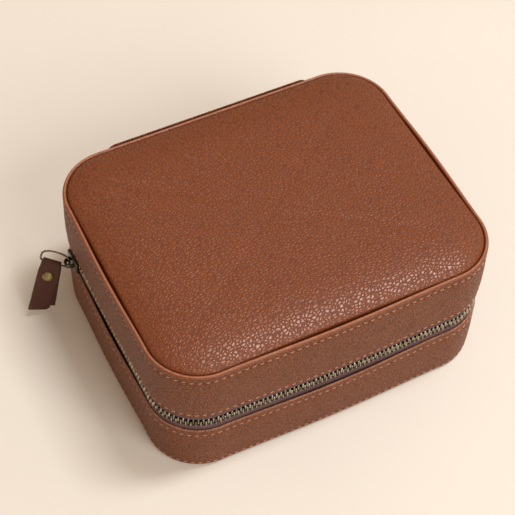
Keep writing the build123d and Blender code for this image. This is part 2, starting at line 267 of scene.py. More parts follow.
def circle(count):
    """Points (a, b) round the unit circle."""
    angles = [2 * math.pi * k / count for k in range(count)]
    return [(math.cos(angle), math.sin(angle)) for angle in angles]


def blunt_ring(count, square):
    """Points (a, b) round a circle of radius square that is cut flat at 1 on four sides."""
    angles = [2 * math.pi * (k + 0.5) / count for k in range(count)]
    return [(clip(square * math.cos(angle)), clip(square * math.sin(angle))) for angle in angles]


def rounded_loop(half_a, half_b, corner, turn=6, run=6):
    """Points (a, b) round a rectangle with rounded corners, stepped along its edges too."""
    arcs = []
    for index, (sign_a, sign_b) in enumerate(((1, 1), (-1, 1), (-1, -1), (1, -1))):
        arc = []
        for k in range(turn):
            angle = math.radians(90 * index + 90 * k / (turn - 1))
            a = sign_a * (half_a - corner) + corner * math.cos(angle)
            b = sign_b * (half_b - corner) + corner * math.sin(angle)
            arc.append((a, b))
        arcs.append(arc)
    points = []
    for index, arc in enumerate(arcs):
        points.extend(arc)
        (a0, b0), (a1, b1) = arc[-1], arcs[(index + 1) % 4][0]
        points.extend((a0 + (a1 - a0) * k / run, b0 + (b1 - b0) * k / run) for k in range(1, run))
    return points


def tube(points, radii, sides=8):
    """Vertices and faces of a round tube through the points, with flat ends."""
    sections = []
    for i, (p, radius) in enumerate(zip(points, radii)):
        along = (points[min(i + 1, len(points) - 1)] - points[max(i - 1, 0)]).normalized()
        side = along.cross(Vector((0, 0, 1)))
        side = side.normalized() if side.length > 1e-4 else Vector((1, 0, 0))
        up = side.cross(along)
        sections.append([p + (side * a + up * b) * radius for a, b in circle(sides)])
    return lofted(sections)


def band(name, profile, material, bow=WALL_BOW, lift=None, highlight_and_wear_at=None, highlight_and_wear_width=0.4 * MM, highlight_and_wear_most=1.0):
    """A closed profile of (inset, height) points carried round the outline. lift(s, z) moves a point's height.
    A painted highlight, broken up like rubbed wear, is stored on the points: its share peaks at its given
    height and fades out from it."""
    verts, highlight_and_wear = [], []
    for i in range(ROUND_STEPS):
        s = PERIMETER * i / ROUND_STEPS
        for inset, z in profile:
            verts.append(place(s, inset, z + lift(s, z) if lift else z, bow))
            if highlight_and_wear_at is not None:
                highlight_and_wear.append(highlight_and_wear_most * math.exp(-((z - highlight_and_wear_at) / highlight_and_wear_width) ** 2))
    piece = new_piece(name, verts, ring_quads(ROUND_STEPS, len(profile), closed=True), material)
    if highlight_and_wear:
        piece.data.attributes.new("highlight_and_wear", "FLOAT", "POINT").data.foreach_set("value", highlight_and_wear)
    return piece


def panel(name, rings, middle_z, material, inner_rings=14, crown=0.0):
    """A panel that fills the outline: rings of (inset, height) from its rim inwards, then shrinking copies of
    the last ring up to its middle. crown raises the middle in a smooth dome."""
    n = ROUND_STEPS
    verts = [place(PERIMETER * i / n, inset, z) for inset, z in rings for i in range(n)]
    last = verts[-n:]
    for ring in range(1, inner_rings):
        share = 1 - ring / inner_rings
        z = middle_z - (middle_z - rings[-1][1]) * share ** 2 + crown * (1 - share ** 2)
        verts += [Vector((v.x * share, v.y * share, z)) for v in last]
    faces = ring_quads(len(verts) // n, n) + [tuple(range(n))]
    centre = len(verts)
    first = centre - n
    verts.append(Vector((0, 0, middle_z + crown)))
    faces += [(first + i, first + (i + 1) % n, centre) for i in range(n)]
    return new_piece(name, verts, faces, material)


# ---------- materials

# Light pinkish colour painted on the fold edges and the crest as a painted highlight, broken up like rubbed
# wear
EDGE_HIGHLIGHT_AND_WEAR = (0.55, 0.26, 0.165)


def is_socket(value):
    return isinstance(value, bpy.types.NodeSocket)


def darker(color, share):
    return tuple(c * share for c in color)


class Shader:
    """A material being built: its node tree, its Principled shader, and short ways to add nodes."""

    def __init__(self, name, color, roughness, metallic=0.0):
        self.material = bpy.data.materials.new(name)
        self.material.use_nodes = True
        self.tree = self.material.node_tree
        self.bsdf = self.tree.nodes["Principled BSDF"]
        self.bsdf.inputs["Base Color"].default_value = (*color, 1)
        self.bsdf.inputs["Roughness"].default_value = roughness
        self.bsdf.inputs["Metallic"].default_value = metallic
        self.coords = self.tree.nodes.new("ShaderNodeTexCoord").outputs["Object"]

    def feed(self, socket, value):
        if is_socket(value):
            self.tree.links.new(value, socket)
        else:
            socket.default_value = value

    def node(self, kind, **inputs):
        made = self.tree.nodes.new("ShaderNode" + kind)
        for key, value in inputs.items():
            self.feed(made.inputs[key.replace("_", " ")], value)
        return made

    def worked_out(self, kind, operation, *values):
        made = self.node(kind)
        made.operation = operation
        for socket, value in zip(made.inputs, values):
            self.feed(socket, value)
        return made.outputs

    def math(self, operation, a, b=0.0):
        return self.worked_out("Math", operation, a, b)[0]

    def vector(self, operation, a, b):
        return self.worked_out("VectorMath", operation, a, b)["Vector"]

    def link(self, output, name):
        self.tree.links.new(output, self.bsdf.inputs[name])

    def noise(self, scale, detail=3.0, roughness=0.55):
        made = self.node("TexNoise", Vector=self.coords, Scale=scale, Detail=detail, Roughness=roughness)
        return made.outputs["Fac"]

    def warped(self, scale, amount):
        """Coordinates shifted by noise, so that cells and threads aren't regular."""
        made = self.node("TexNoise", Vector=self.coords, Scale=scale, Detail=2.0)
        centred = self.vector("SUBTRACT", made.outputs["Color"], (0.5, 0.5, 0.5))
        return self.vector("ADD", self.coords, self.vector("MULTIPLY", centred, (amount, amount, amount)))

    def cells(self, scale, feature="DISTANCE_TO_EDGE", vector=None):
        made = self.node("TexVoronoi")
        made.feature = feature
        self.feed(made.inputs["Vector"], vector or self.coords)
        self.feed(made.inputs["Scale"], scale)
        return made.outputs["Distance"]

    def spread(self, value, low, high, to_low=0.0, to_high=1.0):
        made = self.node("MapRange")
        made.interpolation_type = "SMOOTHSTEP"
        self.feed(made.inputs["Value"], value)
        for key, number in (("From Min", low), ("From Max", high), ("To Min", to_low), ("To Max", to_high)):
            made.inputs[key].default_value = number
        return made.outputs["Result"]

    def mix(self, share, a, b):
        made = self.node("Mix")
        made.data_type = "RGBA"
        self.feed(made.inputs["Factor"], share)
        for name, value in (("A", a), ("B", b)):
            socket = [i for i in made.inputs if i.name == name and i.type == "RGBA"][0]
            self.feed(socket, value if is_socket(value) else (*value, 1))
        return [o for o in made.outputs if o.type == "RGBA"][0]

    def bump(self, height, distance, strength=1.0, under=None):
        made = self.node("Bump", Height=height, Distance=distance, Strength=strength)
        if under is not None:
            self.feed(made.inputs["Normal"], under)
        return made.outputs["Normal"]

    def add_highlight_and_wear(self, color):
        """Takes color, and the light painted-highlight colour where the piece's stored highlight share is high
        and noise lets it, broken up like rubbed wear.
        """
        made = self.node("Attribute")
        made.attribute_name = "highlight_and_wear"
        broken = self.spread(self.noise(900.0, 3.0, 0.7), 0.3, 0.6, 0.45, 1.0)
        self.link(self.mix(self.math("MULTIPLY", made.outputs["Fac"], broken), color, EDGE_HIGHLIGHT_AND_WEAR), "Base Color")


def leather(name, color, crease_dye_and_shade, grain, depth, roughness, crease_width, fleck, lie, stretch, shine=0.5):
    """Pebbled leather: rounded cells with creases between them, fine pores and uneven dye. The creases are
    painted darker, partly as their dye and partly as painted shade, and the piece's stored edge highlight is
    painted on, broken up like rubbed wear.
    crease_width is a share of a cell, and fleck how much of the dark crease colour shows there. The cells are
    turned by lie and then made longer or shorter along each direction by stretch."""
    shader = Shader(name, color, roughness)
    mapped = shader.node("Mapping", Vector=shader.warped(0.5 / grain, 0.7 * grain))
    mapped.vector_type = "TEXTURE"
    mapped.inputs["Rotation"].default_value = lie
    mapped.inputs["Scale"].default_value = stretch
    where = mapped.outputs["Vector"]
    crease = shader.cells(1 / grain, vector=where)
    pebble = shader.spread(crease, 0.0, crease_width * 1.5)
    dome = shader.spread(shader.cells(1 / grain, "F1", vector=where), 0.15, 0.8, 1.0, 0.0)
    height = shader.math("ADD", pebble, shader.math("MULTIPLY", dome, 0.5))
    grained = shader.bump(height, depth)
    pores = shader.noise(6.0 / grain, 2.0)
    shader.link(shader.bump(pores, 0.025 * MM, under=grained), "Normal")
    cloudy = shader.spread(shader.noise(38.0, 4.0), 0.3, 0.7)
    dyed = shader.mix(cloudy, darker(color, 0.9), color)
    mottled = shader.spread(shader.noise(0.4 / grain, 3.0, 0.6), 0.32, 0.68)
    varied = shader.mix(mottled, darker(color, 0.93), dyed)
    # The creases are painted darker: partly their dye, partly painted shade in the creases
    open_share = shader.spread(crease, 0.0, crease_width, 1.0 - fleck, 1.0)
    shader.add_highlight_and_wear(shader.mix(open_share, crease_dye_and_shade, varied))
    shader.link(shader.spread(crease, 0.0, crease_width * 1.3, 0.66, roughness), "Roughness")
    shader.bsdf.inputs["Specular IOR Level"].default_value = shine
    return shader.material


def smooth_leather(name, color, worn_color, roughness, wrinkle=0.05 * MM):
    """Leather stretched over a fold: the grain is pressed nearly flat and the finish is rubbed lighter in
    patches, with a painted highlight along the edge where the piece stores one.
    """
    shader = Shader(name, color, roughness)
    crease = shader.cells(1050.0, vector=shader.warped(500.0, 0.6 * MM))
    fine = shader.noise(1400.0, 4.0)
    grained = shader.bump(shader.spread(crease, 0.0, 0.3), wrinkle)
    shader.link(shader.bump(fine, 0.03 * MM, under=grained), "Normal")
    rubbed = shader.spread(shader.noise(260.0, 5.0, 0.65), 0.45, 0.7)
    shader.add_highlight_and_wear(shader.mix(rubbed, color, worn_color))
    shader.link(shader.spread(fine, 0.3, 0.7, roughness - 0.06, roughness + 0.1), "Roughness")
    return shader.material


def suede(name, color, nap_color):
    """Brushed microsuede: a short nap with soft brushed patches."""
    shader = Shader(name, color, 0.92)
    nap = shader.noise(5200.0, 3.0, 0.7)
    brushed = shader.spread(shader.noise(90.0, 5.0, 0.6), 0.35, 0.68)
    tone = shader.mix(brushed, color, nap_color)
    shader.link(shader.mix(shader.spread(nap, 0.25, 0.65), darker(color, 0.8), tone), "Base Color")
    shader.link(shader.bump(nap, 0.10 * MM, 0.9), "Normal")
    shader.bsdf.inputs["Sheen Weight"].default_value = 0.35
    shader.bsdf.inputs["Sheen Roughness"].default_value = 0.45
    return shader.material


def woven(name, color, thread_color, pitch=0.55 * MM):
    """Narrow woven tape: fine twill ribs in two directions."""
    shader = Shader(name, color, 0.8)
    waves = []
    for direction in ((1, 1, 1), (-1, -1, 1)):
        across = shader.worked_out("VectorMath", "DOT_PRODUCT", shader.coords, direction)["Value"]
        waves.append(shader.math("SINE", shader.math("MULTIPLY", across, 2 * math.pi / pitch)))
    shade = shader.spread(shader.math("MAXIMUM", *waves), -0.6, 1.0)
    fuzz = shader.noise(4000.0, 2.0)
    shader.link(shader.mix(shade, color, thread_color), "Base Color")
    shader.link(shader.bump(shader.math("ADD", shade, fuzz), 0.09 * MM), "Normal")
    return shader.material


def thread(name, color, light):
    """Bonded sewing thread: a fine lay along each stitch."""
    shader = Shader(name, color, 0.5)
    lay = shader.noise(3800.0, 2.0)
    shader.link(shader.mix(shader.spread(lay, 0.3, 0.7), color, light), "Base Color")
    shader.link(shader.bump(lay, 0.05 * MM), "Normal")
    return shader.material


def old_brass(name, color, tarnish, roughness):
    """Antiqued brass: dark tarnish in patches, rubbed bright between them, with fine scratches."""
    shader = Shader(name, color, roughness, 1.0)
    mottled = shader.spread(shader.noise(420.0, 5.0, 0.65), 0.38, 0.66)
    shader.link(shader.mix(mottled, color, tarnish), "Base Color")
    scratch = shader.noise(2600.0, 3.0, 0.7)
    shader.link(shader.spread(scratch, 0.3, 0.7, roughness - 0.08, roughness + 0.18), "Roughness")
    shader.link(shader.bump(scratch, 0.02 * MM), "Normal")
    return shader.material


def board_material():
    """Greyboard: pressed fibres with darker specks."""
    shader = Shader("greyboard", (0.42, 0.36, 0.29), 0.9)
    fibre = shader.noise(1500.0, 6.0, 0.75)
    specks = shader.spread(shader.noise(600.0, 2.0), 0.62, 0.72)
    tone = shader.mix(shader.spread(fibre, 0.3, 0.7), (0.34, 0.29, 0.23), (0.48, 0.42, 0.34))
    shader.link(shader.mix(specks, tone, (0.2, 0.16, 0.12)), "Base Color")
    shader.link(shader.bump(fibre, 0.06 * MM), "Normal")
    return shader.material


def foam_material():
    """Open foam: small round cells, their hollows painted darker as painted shade."""
    shader = Shader("foam", (0.72, 0.69, 0.6), 0.95)
    pits = shader.spread(shader.cells(1300.0, "F1"), 0.1, 0.6)
    # Painted shade: the cells' hollows take the darker colour
    shader.link(shader.mix(pits, (0.5, 0.47, 0.4), (0.78, 0.75, 0.68)), "Base Color")
    shader.link(shader.bump(pits, 0.2 * MM), "Normal")
    return shader.material


def mirror_material():
    """Silvered glass: almost perfectly smooth, with a very faint haze."""
    shader = Shader("mirror_glass", (0.88, 0.9, 0.9), 0.03, 1.0)
    shader.link(shader.spread(shader.noise(60.0, 4.0), 0.4, 0.75, 0.02, 0.07), "Roughness")
    return shader.material


def floor_material():
    """Smooth pale board, very slightly uneven."""
    shader = Shader("pale_floor", (0.82, 0.79, 0.73), 0.8)
    cloudy = shader.spread(shader.noise(6.0, 3.0), 0.3, 0.7)
    shader.link(shader.mix(cloudy, (0.81, 0.78, 0.72), (0.83, 0.80, 0.74)), "Base Color")
    return shader.material


# The second colour of each leather is its dark crease colour: crease dye and painted crease shade
CASE_LEATHER = leather("case_leather", (0.226, 0.058, 0.0145), (0.105, 0.021, 0.005), grain=1.6 * MM,
                       depth=0.078 * MM, roughness=0.29, crease_width=0.17, fleck=0.8,
                       lie=(0, 0, math.radians(28)), stretch=(1.3, 0.85, 1))
WALL_LEATHER = leather("wall_leather", (0.272, 0.077, 0.0195), (0.095, 0.022, 0.0055), grain=1.08 * MM,
                       depth=0.28 * MM, roughness=0.4, crease_width=0.19, fleck=0.9,
                       lie=(0, math.radians(-60), 0), stretch=(1.55, 1, 0.8), shine=0.45)
EDGE_LEATHER = smooth_leather("edge_leather", (0.215, 0.052, 0.0125), (0.255, 0.068, 0.020), 0.33, 0.08 * MM)
TAB_LEATHER = smooth_leather("tab_leather", (0.066, 0.0125, 0.0026), (0.083, 0.0185, 0.0052), 0.6)
TAB_EDGE = smooth_leather("tab_edge_paint", (0.022, 0.008, 0.005), (0.035, 0.013, 0.009), 0.38)
LINING = suede("lining_suede", (0.36, 0.245, 0.175), (0.45, 0.32, 0.24))
TAPE = woven("zip_tape_weave", (0.05, 0.023, 0.024), (0.18, 0.10, 0.105))
THREAD = thread("stitch_thread", (0.50, 0.21, 0.125), (0.68, 0.35, 0.245))
TOOTH_METAL = old_brass("tooth_brass", (0.50, 0.45, 0.35), (0.11, 0.09, 0.06), 0.16)
SLIDER_METAL = old_brass("slider_brass", (0.16, 0.135, 0.105), (0.03, 0.026, 0.022), 0.3)
LINK_METAL = old_brass("link_brass", (0.33, 0.26, 0.17), (0.10, 0.08, 0.055), 0.28)
RIVET_METAL = old_brass("rivet_brass", (0.40, 0.33, 0.15), (0.20, 0.155, 0.065), 0.36)
BOARD = board_material()
FOAM = foam_material()
MIRROR = mirror_material()


# ---------- shells

def front_sag(s, z):
    """The zip line hangs a little lower at the middle of the front than at its corners."""
    _, out, share = on_outline(s)
    if out.y > -0.99:
        return 0.0
    return -SAG * share * clip(1.4 - abs(z - ZIP_Z) / (20 * MM), 0.0)


def base_wall():
    """The base's side leather, turned in at the table and folded over its board at the zip."""
    profile = [
        *offsets(3.6 * MM, BOTTOM_TOP, (0, 0.2), (0, -0.1)),
        *offsets(0, 0, (2.4, 0.25), (1.5, 0.1), (0.8, 0.5), (0.3, 1.1)),
        *offsets(OUTER, 0, (0.1, 1.5), (0.38, 2.1), (0.1, 2.7), (-0.1, 4.5), (-0.2, 9), (-0.3, 15), (-0.2, 21)),
        *offsets(OUTER, BASE_EDGE, (0, -5.4), (0.08, -4.4), (0.28, -3.75), (0.08, -3.1), (-0.1, -2.0),
                 (-0.12, -1.1), (-0.02, -0.6), (0.25, -0.2), (0.6, -0.02), (0.95, -0.15), (1.15, -0.5),
                 (1.15, -5.0)),
        (1.3 * MM, 12.0 * MM),
        (1.3 * MM, BOTTOM_TOP + 0.2 * MM),
    ]
    # The base's fold at the zip gets a painted highlight, broken up like rubbed wear
    piece = band("base_wall_cover", profile, WALL_LEATHER, lift=front_sag, highlight_and_wear_at=BASE_EDGE)
    finish_piece(piece, "base", "case_leather", "base_wall_leather")


def base_bottom():
    """The bottom panel, with a shallow turned edge all round."""
    rings = [
        *offsets(0, BOTTOM_TOP, (2.2, 0), (2.0, -0.35)),
        (2.3 * MM, 0.18 * MM),
        *offsets(0, BASE_BOTTOM, (3.0, 0), (9.0, 0)),
    ]
    piece = panel("base_bottom_cover", rings, BASE_BOTTOM, WALL_LEATHER)
    finish_piece(piece, "base", "case_leather", "base_bottom_leather")


def lid_wall():
    """The lid's side leather, rolled in at its lower edge, up to the channel under the upper seam."""
    profile = [
        *offsets(OUTER, LID_EDGE, (1.15, 5.0), (1.15, 0.35), (0.8, 0.02), (0.35, 0.1), (0.05, 0.5), (0, 1.1),
                 (0.26, 1.75), (0.02, 2.4), (-0.15, 4.0), (-0.4, 9.0), (-0.4, 16.0)),
        *offsets(OUTER, SEAM, (-0.15, -2.4), (0, -0.65), (0.30, 0), (0.9, 0.3)),
        (1.35 * MM, SEAM - 0.6 * MM),
        (1.3 * MM, LID_EDGE + 8.0 * MM),
    ]
    # The lid's lower edge gets a painted highlight, broken up like rubbed wear
    piece = band("lid_wall_cover", profile, WALL_LEATHER, lift=front_sag, highlight_and_wear_at=LID_EDGE)
    finish_piece(piece, "lid", "case_leather", "lid_wall_leather")


def lid_rim():
    """The rim above the upper seam, turned over in a soft edge and down into the groove round the pad, with a
    tongue under the pad that closes the bottom of the groove. Its outer face has the wall's grain."""
    middle, half, drop = OUTER + 0.9 * MM, 0.95 * MM, 1.15 * MM
    turned = [math.pi * k / 16 for k in range(17)]
    profile = [
        *offsets(OUTER, SEAM, (0.31, -0.02), (0.03, 0.6), (-0.06, 1.3), (-0.04, 2.0)),
        *[(middle - half * math.cos(angle), CREST - drop + drop * math.sin(angle)) for angle in turned],
        (middle + half * 1.02, CREST - 3.35 * MM),
        *offsets(3.9 * MM, CREST, (0, -3.4), (0, -3.7)),
        *offsets(OUTER, SEAM, (1.0, 0.2)),
    ]
    # The crest gets a thin painted highlight at half strength
    piece = band("lid_rim", profile, EDGE_LEATHER, highlight_and_wear_at=CREST, highlight_and_wear_width=0.13 * MM, highlight_and_wear_most=0.5)
    piece.data.materials.append(WALL_LEATHER)
    for polygon in piece.data.polygons:
        if polygon.center.z < CREST - 1.0 * MM and outside(polygon.center, 0.9 * MM):
            polygon.material_index = 1
    finish_piece(piece, "lid", "welt_leather", "lid_welt")


def lid_pad():
    """The padded top: leather drawn down into the groove beside the rim and swelling to a soft crown."""
    rings = offsets(0, CREST, (2.05, -3.3), (2.08, -2.0), (2.12, -1.1), (2.25, -0.45), (2.55, 0.05), (3.1, 0.5),
                    (3.9, 0.9), (5.0, 1.28), (6.5, 1.7), (8.5, 2.16), (11.0, 2.64), (14.0, 3.08), (17.5, 3.42),
                    (22.0, 3.66))
    pad = panel("lid_pad_cover", rings, rings[-1][1], CASE_LEATHER, inner_rings=22, crown=0.3 * MM)
    swell(pad)
    finish_piece(pad, "lid", "case_leather", "lid_top_leather", "lid_foam")


def swell(pad):
    """Cloth under pressure lifts the pad between its pinned rim and its middle; the lift is capped."""
    most, last_frame = 0.3 * MM, 12
    rest = [v.co.copy() for v in pad.data.vertices]
    pins = pad.vertex_groups.new(name="pins")
    for ring, weight in enumerate((1.0, 1.0, 1.0, 1.0, 0.6)):
        pins.add(list(range(ring * ROUND_STEPS, (ring + 1) * ROUND_STEPS)), weight, "REPLACE")
    cloth = pad.modifiers.new("swell", "CLOTH")
    fabric = {
        "vertex_group_mass": "pins", "quality": 5, "mass": 0.3, "tension_stiffness": 25,
        "compression_stiffness": 25, "bending_stiffness": 6, "use_pressure": True,
        "uniform_pressure_force": 3.0,
    }
    for setting, value in fabric.items():
        setattr(cloth.settings, setting, value)
    cloth.settings.effector_weights.gravity = 0
    cloth.collision_settings.use_collision = False
    cloth.point_cache.frame_start = 1
    cloth.point_cache.frame_end = last_frame
    scene = bpy.context.scene
    for step in range(1, last_frame + 1):
        scene.frame_set(step)
    evaluated = pad.evaluated_get(bpy.context.evaluated_depsgraph_get())
    moved = [v.co.copy() for v in evaluated.data.vertices]
    pad.modifiers.remove(cloth)
    scene.frame_set(1)
    for vertex, before, after in zip(pad.data.vertices, rest, moved):
        shift = after - before
        if shift.length > most:
            shift *= most / shift.length
        vertex.co = before + shift
    pad.data.update()


# ---------- stitching

STITCH_PITCH = 3.5 * MM
STITCH = 1.95 * MM
STITCH_RADIUS = 0.27 * MM


def stitch(point_at):
    """One lay of thread, thinner at both ends. point_at(t, sink) gives its middle line at share t of its
    length, where sink grows from 0 at the middle to 1 at the ends."""
    points, radii = [], []
    for k in range(7):
        t = k / 6
        sink = (2 * t - 1) ** 4
        points.append(point_at(t, sink))
        radii.append(STITCH_RADIUS * (1 - 0.45 * sink))
    return tube(points, radii)


def stitch_row(name, starts, inset, z, body, lean=0.25 * MM, sag=True):
    """A row of stitches on the wall that sink at both ends, each leaning and a little off the line."""
    parts = []
    for index, s in enumerate(starts):
        height = z + 0.09 * MM * math.sin(index * 2.4) + 0.05 * MM * math.sin(index * 0.7)
        if sag:
            height += front_sag(s, z)

        def point_at(t, sink):
            depth = STITCH_RADIUS * (1.5 * sink - 0.35)
            return place(s + STITCH * (t - 0.5), inset + depth, height + lean * (t - 0.5), WALL_BOW)

        parts.append(stitch(point_at))
    shaped(name, joined(parts), THREAD, body, "case_leather")


def seams():
    all_round = steps_along(0, PERIMETER - STITCH_PITCH / 2, STITCH_PITCH, 0)
    hinge_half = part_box("hinge_leather")[1].x + 2 * MM
    past_hinge = steps_along(hinge_half, PERIMETER - hinge_half, STITCH_PITCH, 0)
    inset = OUTER + 0.2 * MM
    stitch_row("lid_upper_seam", all_round, inset, SEAM, "lid")
    stitch_row("lid_lower_seam", past_hinge, inset, LID_EDGE + 1.75 * MM, "lid")
    stitch_row("base_upper_seam", past_hinge, inset, BASE_EDGE - 3.75 * MM, "base")
    stitch_row("base_lower_seam", all_round, inset + 0.12 * MM, 2.1 * MM, "base", lean=0.2 * MM, sag=False)


# ---------- zip

TOOTH_PITCH = 2.15 * MM
TOOTH_REACH = 0.75 * MM
TOOTH_LEG = 0.53 * MM
TOOTH_HEAD = 0.46 * MM
CHAIN_SIDE = 2.6 * MM
ROW_FRONT_END = PERIMETER - 54.0 * MM


def zip_bow(point):
    """How far the zip stands forward at this point of the front, with the wall behind it."""
    if point.y > -STRAIGHT_Y or abs(point.x) > STRAIGHT_X:
        return 0.0
    return ZIP_BOW * (1 - (point.x / STRAIGHT_X) ** 2) ** 2


def tape(name, body, node):
    """Woven tape with a corded edge beside the teeth. Behind the slider, where the teeth end, the two tapes
    close up."""
    low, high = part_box(node)
    edge, other, step = (high.z, low.z, 0.55 * MM) if body == "base" else (low.z, high.z, -0.55 * MM)
    half = TAPE_THICK / 2
    cord = [(half + bulge * MM, edge - k * step) for k, bulge in ((3, 0), (2, 0.25), (1, 0.3), (0, 0))]
    profile = [
        (CHAIN_INSET - half, other),
        *[(CHAIN_INSET - depth, z) for depth, z in cord],
        *[(CHAIN_INSET + depth, z) for depth, z in reversed(cord)],
        (CHAIN_INSET + half, other),
    ]

    def lift(s, z):
        behind = clip((SLIDER_S - 9 * MM - s) / (3 * MM), 0.0)
        near_edge = max(0.0, 1 - abs(z - edge) / (3 * MM))
        return front_sag(s, z) + behind * near_edge * (ZIP_Z - edge) * 0.94

    piece = band(name, profile, TAPE, bow=0.0, lift=lift)
    for vertex in piece.data.vertices:
        vertex.co.y -= zip_bow(vertex.co)
    finish_piece(piece, body, "zip_tape", node)


def tooth(s, side):
    """One metal tooth: legs that grip the tape's cord and a head that reaches past the zip's middle.
    side is 1 for a tooth that hangs from the lid and -1 for one that stands on the base."""
    sections = []
    for reach, half_width, half_depth in (
        (CHAIN_SIDE + 0.1 * MM, 0.42 * MM, 0.62 * MM),
        (CHAIN_SIDE - 0.3 * MM, TOOTH_LEG, 1.02 * MM),
        (1.2 * MM, TOOTH_LEG, 1.08 * MM),
        (0.5 * MM, 0.5 * MM, 1.05 * MM),
        (-0.32 * MM, TOOTH_HEAD, 1.02 * MM),
        (-TOOTH_REACH, 0.40 * MM, 0.6 * MM),
    ):
        z = ZIP_Z + front_sag(s, ZIP_Z) + side * reach
        ring = [place(s + half_width * a, CHAIN_INSET + half_depth * b, z) for a, b in blunt_ring(8, 1.22)]
        for point in ring:
            point.y -= zip_bow(point)
        sections.append(ring)
    return lofted(sections)


def teeth(name, side, starts, body, node):
    row = shaped(name, joined([tooth(s, side) for s in starts]), TOOTH_METAL, body, "zip_metal", node)
    bevel = row.modifiers.new("edges", "BEVEL")
    bevel.width = 0.12 * MM
    bevel.segments = 1
    bevel.limit_method = "ANGLE"


def zip_rows():
    """Both rows of teeth on one rhythm, so that each tooth of the lid sits between two of the base."""
    base = steps_along(SLIDER_S - 2 * MM, ROW_FRONT_END, TOOTH_PITCH, CHAIN_INSET)
    between = [(s + t) / 2 for s, t in zip(base, base[1:]) if s > SLIDER_S + 7.5 * MM]
    teeth("base_teeth", -1, base, "base", "base_zip_chain")
    teeth("lid_teeth", 1, between, "lid", "lid_zip_chain")


def zip_stop():
    """The folded stop behind the parked slider, pinched on to the tape's edge."""
    _, _, middle, half = centred_box("zip_stop")
    sections = []
    for share, squeeze in ((-1, 0.72), (-0.8, 0.96), (0, 1.0), (0.8, 0.96), (1, 0.72)):
        ring = [(half.x * a * squeeze, half.y * share, half.z * b * squeeze) for a, b in blunt_ring(12, 1.25)]
        sections.append([middle + Vector(step) for step in ring])
    shaped("zip_end_stop", lofted(sections), TOOTH_METAL, "base", "zip_metal", "zip_stop")


# ---------- slider, link and tab

def rounded_plate(centre, half_y, half_z, thick, corner, waist=0.0, bevel=0.22 * MM):
    """A plate in the YZ plane with rounded corners and bevelled rims, narrowed at its middle by waist."""
    loops = []
    half = thick / 2
    for depth, shrink in ((-half, bevel), (bevel - half, 0.0), (half - bevel, 0.0), (half, bevel)):
        loop = []
        for y, z in rounded_loop(half_y - shrink, half_z - shrink, corner - shrink):
            narrow = 1 - waist * (1 - (y / half_y) ** 2) ** 2
            loop.append(centre + Vector((depth, y, z * narrow)))
        loops.append(loop)
    return lofted(loops)


def slider_body():
    """Both plates with their turned-in flanges and the post between them."""
    low, high, centre, half = centred_box("slider_body")
    parts = []
    for x in (low.x + 0.55 * MM, high.x - 0.5 * MM):
        plate = Vector((x, centre.y, centre.z))
        parts.append(rounded_plate(plate, half.y, half.z, 1.05 * MM, 1.9 * MM, waist=0.10))
    for x in (low.x + 1.35 * MM, high.x - 1.35 * MM):
        for side in (-1, 1):
            at = Vector((x, centre.y, centre.z + side * (half.z - 0.42 * MM)))
            parts.append(rounded_plate(at, half.y - 2.2 * MM, 0.38 * MM, 0.75 * MM, 0.3 * MM, bevel=0.12 * MM))
    post = Vector((centre.x, high.y - 1.05 * MM, centre.z))
    parts.append(rounded_plate(post, 0.95 * MM, 0.38 * MM, 2 * half.x - 2.0 * MM, 0.25 * MM, bevel=0.05 * MM))
    shaped("slider_plates", joined(parts), SLIDER_METAL, "slider", "slider_metal", "slider_body")


def slider_bridge():
    """The arched loop on the slider's outer plate that holds the link."""
    _, high, centre, half = centred_box("slider_bridge")
    thick = 0.95 * MM
    sections = []
    for k in range(25):
        t = math.pi * k / 24
        x, y = 2 * half.x * min(1.0, 1.12 * math.sin(t)) ** 0.8, half.y * math.cos(t)
        outer_x, outer_y = high.x - x, centre.y + y
        inner_x, inner_y = high.x - max(0.0, x - thick * 0.95), centre.y + y * (1 - thick / half.y)
        ring = []
        for a, b in blunt_ring(12, 1.2):
            ring.append(Vector(((outer_x + inner_x) / 2 + (outer_x - inner_x) / 2 * b,
                                (outer_y + inner_y) / 2 + (outer_y - inner_y) / 2 * b, centre.z + half.z * a)))
        sections.append(ring)
    shaped("slider_loop", lofted(sections), SLIDER_METAL, "slider", "slider_metal", "slider_bridge")


def tab_frame():
    """The tab's eye and its own directions: across its width, down its length, and out of its face."""
    eye = Vector(JOINTS["tab_swing"]["pos_m"])
    across = -Vector(JOINTS["tab_swing"]["axis"]).normalized()
    across = across if across.x < 0 else -across
    down = centred_box("tab_rivet")[2] - eye
    down = (down - across * down.dot(across)).normalized()
    return eye, across, down, across.cross(down)


TAB_EYE, TAB_ACROSS, TAB_DOWN, TAB_FACING = tab_frame()
TAB_WIDTH = 10.2 * MM
TAB_LAYER = 1.15 * MM
TAB_TWIST = math.radians(23)
TAB_REACH = 32.0 * MM
TAB_FOLD = 1.22 * MM
TAB_LAYER_MIDDLE = 0.66 * MM


def tab_place(a, out, along):
    """A point of the tab: a across its width, out of its middle plane, and along its length from the eye."""
    share = clip(along / TAB_REACH, 0.0)
    turn = TAB_TWIST * share ** 1.3
    side = TAB_ACROSS * math.cos(turn) + TAB_FACING * math.sin(turn)
    face = TAB_FACING * math.cos(turn) - TAB_ACROSS * math.sin(turn)
    curl = 0.5 * MM * math.sin(math.pi * share)
    narrow = 1 - 0.15 * clip(1 - along / (6 * MM), 0.0) ** 2
    return TAB_EYE + side * a * narrow + face * (out + curl) + TAB_DOWN * along


